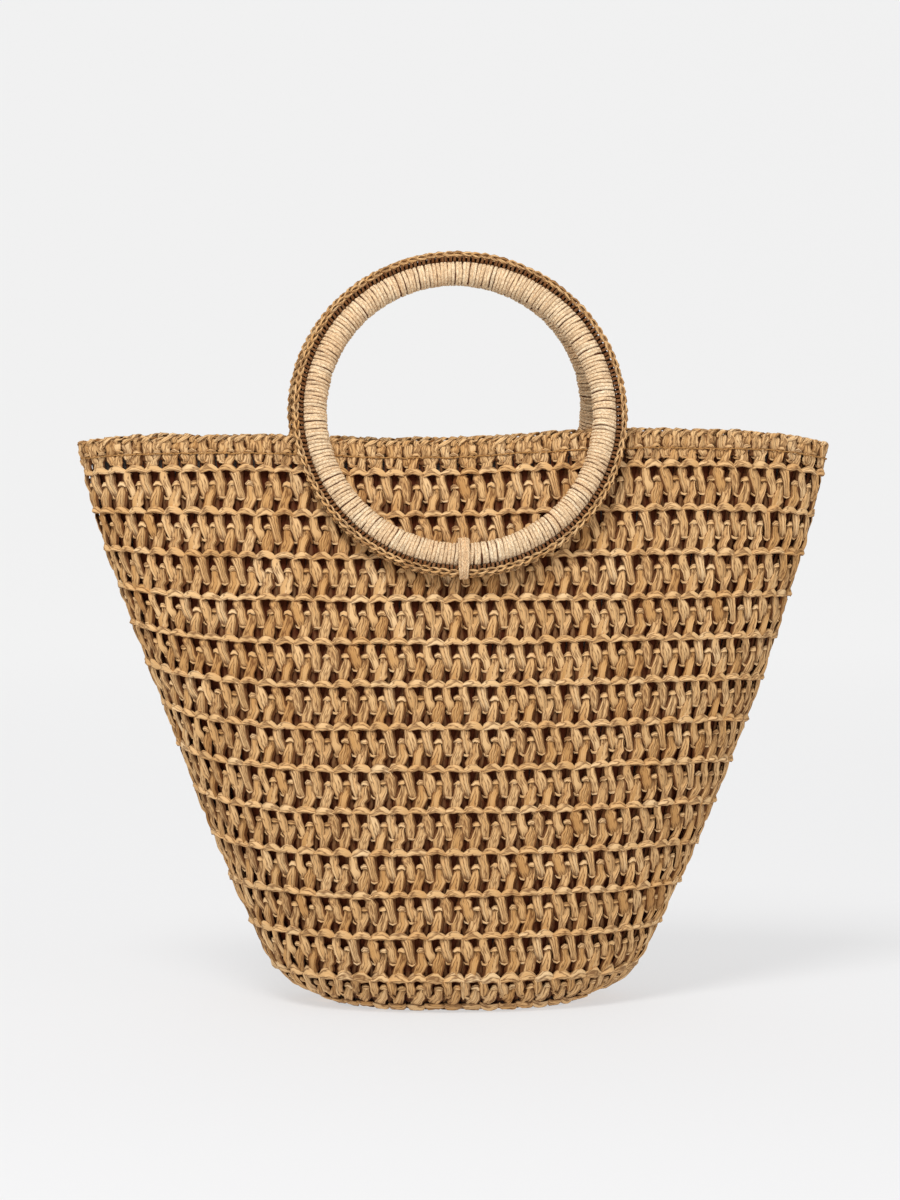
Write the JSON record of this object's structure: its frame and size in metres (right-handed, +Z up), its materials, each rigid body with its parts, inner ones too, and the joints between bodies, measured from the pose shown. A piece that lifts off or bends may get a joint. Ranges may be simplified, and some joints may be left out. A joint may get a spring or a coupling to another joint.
{
  "type": "straw basket bag",
  "caption": "Crocheted straw tote that fans out from an oval base to a wide flat mouth, with a wound ring handle on its front and back.",
  "frame": {"origin": "centre of the base's underside, on the surface the bag stands on", "axes": "+Z up, front face towards -Y, +X to the right when looking at the front"},
  "size_m": [0.4106, 0.133, 0.4085],
  "materials": {
    "straw": "matte twisted paper straw, crocheted",
    "straw_winding": "paler paper straw wound close, slightly smooth",
    "lining": "plain matte cloth, grey beige"
  },
  "bodies": {
    "root": {"base": "straw", "body_wall": "straw", "rim_band": "straw", "lining": "lining", "handle_ring_front": "straw_winding", "handle_ring_back": "straw_winding", "handle_edging_front": "straw", "handle_edging_back": "straw", "handle_binding_front": "straw_winding", "handle_binding_back": "straw_winding"}
  },
  "joints": []
}
